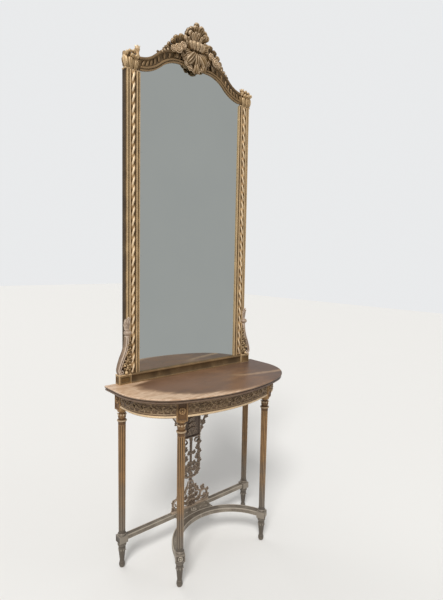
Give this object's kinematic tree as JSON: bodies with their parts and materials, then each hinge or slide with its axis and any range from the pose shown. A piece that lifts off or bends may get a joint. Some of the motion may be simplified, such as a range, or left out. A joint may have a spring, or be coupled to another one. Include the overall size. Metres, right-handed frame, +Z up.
{
  "type": "pier table with pier glass",
  "caption": "Bow-fronted carved and gilded pier table on fluted legs with curved stretchers, carrying a tall arched pier glass with a carved crest.",
  "frame": {"origin": "on the floor, at the middle of the table top's footprint", "axes": "+Z up; +Y towards the wall, where the glass and its frame stand; the bowed front of the table faces -Y"},
  "size_m": [0.91, 0.42, 2.534],
  "materials": {
    "stone_top": "brown veined stone with sandy streaks, polished and worn to satin",
    "table_gilt": "worn bronze gilding over brown",
    "frame_gilt": "worn gold-bronze gilding",
    "greyed_gilt": "weathered grey-brown gilding",
    "plain_wood": "bare pine",
    "silvered_glass": "plane silvered glass",
    "iron_strap": "blackened",
    "brass_plate": "dull",
    "screws": "aged steel"
  },
  "bodies": {
    "root": {"apron_bead_front": "table_gilt", "apron_bead_left": "table_gilt", "apron_bead_right": "table_gilt", "apron_dowels": "plain_wood", "apron_front": "table_gilt", "apron_left": "table_gilt", "apron_right": "table_gilt", "back_battens": "plain_wood", "back_rail": "table_gilt", "backboard_lower": "plain_wood", "backboard_upper": "plain_wood", "bracket_left": "frame_gilt", "bracket_right": "frame_gilt", "corner_block_left": "frame_gilt", "corner_block_right": "frame_gilt", "corner_bud_left": "frame_gilt", "corner_bud_right": "frame_gilt", "crest_bloom": "frame_gilt", "crest_board": "frame_gilt", "crest_leaf": "frame_gilt", "crest_roses_left": "frame_gilt", "crest_roses_right": "frame_gilt", "crest_shell": "frame_gilt", "frame_screws": "screws", "frame_straps": "iron_strap", "glue_blocks": "plain_wood", "head_rail_left": "frame_gilt", "head_rail_right": "frame_gilt", "leg_back_left": "table_gilt", "leg_back_right": "table_gilt", "leg_front_left": "table_gilt", "leg_front_right": "table_gilt", "lower_patera_left": "greyed_gilt", "lower_patera_right": "greyed_gilt", "mirror_plate": "silvered_glass", "patera_back_left": "table_gilt", "patera_back_right": "table_gilt", "patera_front_left": "table_gilt", "patera_front_right": "table_gilt", "plinth_block_left": "frame_gilt", "plinth_block_right": "frame_gilt", "plinth_rail": "frame_gilt", "rope_left": "frame_gilt", "rope_right": "frame_gilt", "splat_base": "greyed_gilt", "splat_ear_left": "greyed_gilt", "splat_ear_right": "greyed_gilt", "splat_panel": "greyed_gilt", "splat_post": "greyed_gilt", "splat_scroll_left": "greyed_gilt", "splat_scroll_right": "greyed_gilt", "stile_left": "frame_gilt", "stile_right": "frame_gilt", "stretcher_arm_left": "greyed_gilt", "stretcher_arm_right": "greyed_gilt", "stretcher_back": "greyed_gilt", "stretcher_platform": "greyed_gilt", "table_top": "stone_top", "wall_plates": "brass_plate"}
  },
  "joints": []
}
